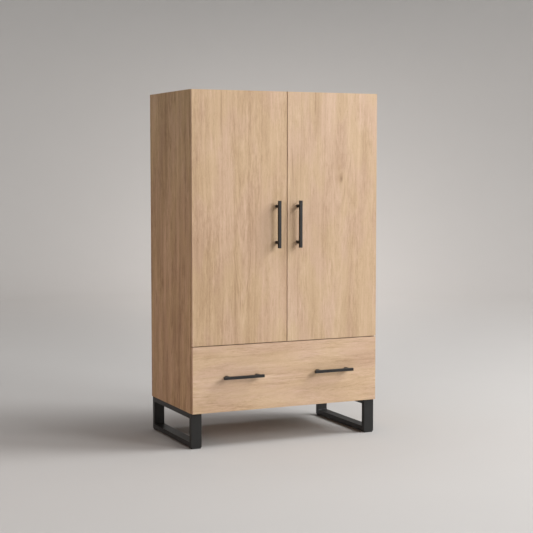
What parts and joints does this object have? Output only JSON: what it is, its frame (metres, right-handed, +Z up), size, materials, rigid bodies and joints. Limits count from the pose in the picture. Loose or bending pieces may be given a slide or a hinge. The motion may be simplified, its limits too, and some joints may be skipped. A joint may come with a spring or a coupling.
{
  "type": "armoire",
  "caption": "Free-standing oak armoire with tall hinged doors over a wide drawer, square-bar handles, and black steel loop legs.",
  "frame": {"origin": "centre of the whole object's footprint, at floor level, where the glides stand", "axes": "+Z up, +Y to the back so the doors face -Y, +X to the right as seen from the front"},
  "size_m": [1, 0.612, 1.718],
  "materials": {
    "oak": "open-pored matt oak veneer with fine pores and soft cathedral grain",
    "drawer_wood": "pale matt birch laminate",
    "hardboard": "brown hardboard",
    "black_steel": "fine matt black powder coat",
    "zinc_steel": "bright zinc-plated folded sheet",
    "nickel": "satin nickel-plated steel",
    "rail_chrome": "polished chrome",
    "black_plastic": "moulded black pad",
    "clear_rubber": "translucent soft bumper"
  },
  "bodies": {
    "case": {"side_panel_left": "oak", "side_panel_right": "oak", "top_panel": "oak", "bottom_panel": "oak", "divider_panel": "oak", "back_panel_upper": "hardboard", "back_panel_lower": "hardboard", "hat_shelf": "oak", "shelf_pin_front_left": "zinc_steel", "shelf_pin_front_right": "zinc_steel", "shelf_pin_rear_left": "zinc_steel", "shelf_pin_rear_right": "zinc_steel", "clothes_rail": "rail_chrome", "rail_socket_left": "zinc_steel", "rail_socket_right": "zinc_steel", "hinge_arm_bottom_left": "nickel", "hinge_arm_bottom_right": "nickel", "hinge_arm_middle_left": "nickel", "hinge_arm_middle_right": "nickel", "hinge_arm_top_left": "nickel", "hinge_arm_top_right": "nickel", "slide_cabinet_rail_left": "zinc_steel", "slide_cabinet_rail_right": "zinc_steel", "leg_frame_left": "black_steel", "leg_frame_right": "black_steel", "glide_front_left": "black_plastic", "glide_front_right": "black_plastic", "glide_rear_left": "black_plastic", "glide_rear_right": "black_plastic"},
    "left_hinge_links": {"hinge_link_bottom_left": "nickel", "hinge_link_middle_left": "nickel", "hinge_link_top_left": "nickel"},
    "right_hinge_links": {"hinge_link_bottom_right": "nickel", "hinge_link_middle_right": "nickel", "hinge_link_top_right": "nickel"},
    "left_door": {"door_left": "oak", "door_handle_left": "black_steel", "door_bumper_left": "clear_rubber", "hinge_cup_bottom_left": "nickel", "hinge_cup_middle_left": "nickel", "hinge_cup_top_left": "nickel"},
    "right_door": {"door_right": "oak", "door_handle_right": "black_steel", "door_bumper_right": "clear_rubber", "hinge_cup_bottom_right": "nickel", "hinge_cup_middle_right": "nickel", "hinge_cup_top_right": "nickel"},
    "drawer": {"drawer_front": "oak", "drawer_side_left": "drawer_wood", "drawer_side_right": "drawer_wood", "drawer_back": "drawer_wood", "drawer_bottom": "drawer_wood", "drawer_handle_left": "black_steel", "drawer_handle_right": "black_steel", "drawer_bumper_left": "clear_rubber", "drawer_bumper_right": "clear_rubber", "slide_drawer_runner_left": "zinc_steel", "slide_drawer_runner_right": "zinc_steel"},
    "slide_middles": {"slide_middle_member_left": "zinc_steel", "slide_middle_member_right": "zinc_steel"}
  },
  "joints": [
    {"name": "left_link_turn", "type": "hinge", "parent": "case", "child": "left_hinge_links", "pos_m": [-0.45, -0.239, 1.108], "axis": [0, 0, 1], "range_deg": [0, 33]},
    {"name": "left_door_swing", "type": "hinge", "parent": "left_hinge_links", "child": "left_door", "pos_m": [-0.486, -0.25, 1.108], "axis": [0, 0, -1], "range_deg": [0, 143]},
    {"name": "right_link_turn", "type": "hinge", "parent": "case", "child": "right_hinge_links", "pos_m": [0.45, -0.239, 1.108], "axis": [0, 0, -1], "range_deg": [0, 33]},
    {"name": "right_door_swing", "type": "hinge", "parent": "right_hinge_links", "child": "right_door", "pos_m": [0.486, -0.25, 1.108], "axis": [0, 0, 1], "range_deg": [0, 143]},
    {"name": "drawer_slide", "type": "slide", "parent": "case", "child": "drawer", "axis": [0, -1, 0], "range_m": [0, 0.48]},
    {"name": "slide_middle_travel", "type": "slide", "parent": "case", "child": "slide_middles", "axis": [0, -1, 0], "range_m": [0, 0.24]}
  ],
  "couplings": [
    {"joint": "left_link_turn", "follows": "left_door_swing", "ratio": 0.23077},
    {"joint": "right_link_turn", "follows": "right_door_swing", "ratio": 0.23077},
    {"joint": "slide_middle_travel", "follows": "drawer_slide", "ratio": 0.5}
  ]
}
